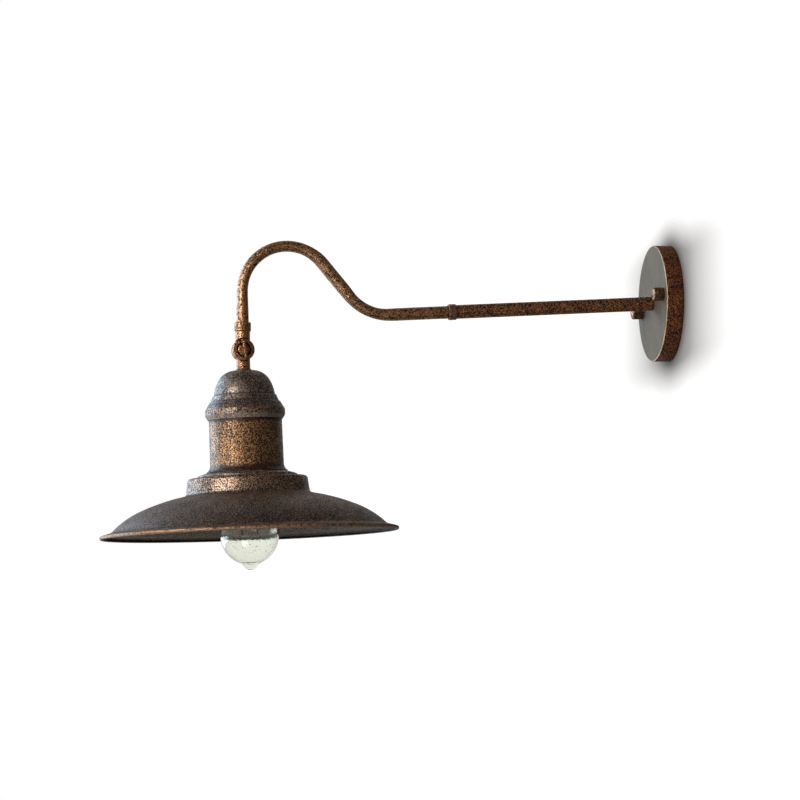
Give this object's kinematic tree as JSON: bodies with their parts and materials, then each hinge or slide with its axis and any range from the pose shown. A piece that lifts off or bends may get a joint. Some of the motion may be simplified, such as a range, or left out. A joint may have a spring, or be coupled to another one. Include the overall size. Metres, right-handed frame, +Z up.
{
  "type": "gooseneck wall sconce",
  "caption": "Wall sconce with a straight arm, a bent gooseneck, a swivel that a thumb screw locks, and a domed, stepped saucer shade in antique bronze over a clear bulb with a drawn tip.",
  "frame": {"origin": "centre of the canopy's back face, on the wall, midway between the two wall screw slots", "axes": "+Y into the wall, +Z up, and +X along the swivel's axis, to the thumb screw's side; the arm runs out along -Y"},
  "size_m": [0.305, 0.5964, 0.3382],
  "materials": {
    "canopy_bronze": "antique bronze patina, dark with copper speckle",
    "knob_bronze": "antique bronze, satin",
    "arm_bronze": "antique bronze patina with copper speckle",
    "collar_bronze": "antique bronze patina, satin",
    "gooseneck_bronze": "antique bronze patina with black spots",
    "swivel_bronze": "antique bronze patina, satin",
    "shade_bronze": "blackened bronze patina with copper speckle",
    "neck_bronze": "blackened bronze patina with golden speckle",
    "zinc_steel": "zinc plated",
    "green_screw": "green plated",
    "copper_lead": "bare copper",
    "connector_plastic": "moulded",
    "black_insulation": "insulation",
    "white_insulation": "insulation",
    "fibre_washer": "pressed fibre",
    "socket_plastic": "moulded",
    "porcelain": "glazed",
    "brass": "bright",
    "bulb_glass": "clear with seed bubbles",
    "bulb_metal": "bright",
    "black_glass": "opaque",
    "solder": "dull",
    "support_wire": "drawn",
    "tungsten": "drawn"
  },
  "bodies": {
    "fixture": {"canopy": "canopy_bronze", "crossbar": "zinc_steel", "mounting_studs": "zinc_steel", "stud_nuts": "zinc_steel", "canopy_nipple": "zinc_steel", "bevel_washer": "zinc_steel", "arm_locknut": "zinc_steel", "ground_screw": "green_screw", "ground_lead": "copper_lead", "wire_connectors": "connector_plastic", "straight_arm": "arm_bronze", "arm_coupling": "collar_bronze", "gooseneck": "gooseneck_bronze", "end_ferrule": "collar_bronze", "arm_wire_line": "black_insulation", "arm_wire_neutral": "white_insulation", "upper_knuckle": "swivel_bronze", "knuckle_washer": "fibre_washer"},
    "shade": {"lower_knuckle": "swivel_bronze", "stem_washer": "collar_bronze", "head_nipple": "zinc_steel", "dome_washer": "zinc_steel", "dome_nut": "zinc_steel", "dome_cap": "shade_bronze", "shade_neck": "neck_bronze", "neck_flange": "shade_bronze", "saucer": "shade_bronze", "upper_shade_ring": "socket_plastic", "lower_shade_ring": "socket_plastic", "socket_nut": "zinc_steel", "socket_cap": "porcelain", "socket_body": "porcelain", "screw_shell": "brass", "contact_tongue": "brass", "terminal_screws": "brass", "head_wire_line": "black_insulation", "head_wire_neutral": "white_insulation"},
    "thumb_screw": {"thumb_screw": "swivel_bronze"},
    "bulb": {"bulb_glass": "bulb_glass", "bulb_cap": "bulb_metal", "bulb_insulator": "black_glass", "bulb_contact": "solder", "bulb_stem": "bulb_glass", "bulb_supports": "support_wire", "filament": "tungsten"},
    "knob_upper": {"canopy_knob_upper": "knob_bronze"},
    "knob_lower": {"canopy_knob_lower": "knob_bronze"}
  },
  "joints": [
    {"name": "shade_tilt", "type": "hinge", "parent": "fixture", "child": "shade", "pos_m": [0, -0.44936, -0.05151], "axis": [1, 0, 0], "range_deg": [-90, 50]},
    {"name": "thumb_screw_turn", "type": "hinge", "parent": "shade", "child": "thumb_screw", "pos_m": [0, -0.44936, -0.05151], "axis": [1, 0, 0], "continuous": true},
    {"name": "bulb_turn", "type": "hinge", "parent": "shade", "child": "bulb", "pos_m": [0, -0.44391, -0.24063], "axis": [0, 0.0288, -0.9996], "continuous": true},
    {"name": "knob_upper_turn", "type": "hinge", "parent": "fixture", "child": "knob_upper", "pos_m": [0.04418, -0.02, 0.00488], "axis": [0, 1, 0], "continuous": true},
    {"name": "knob_lower_turn", "type": "hinge", "parent": "fixture", "child": "knob_lower", "pos_m": [-0.04418, -0.02, -0.00488], "axis": [0, 1, 0], "continuous": true}
  ]
}
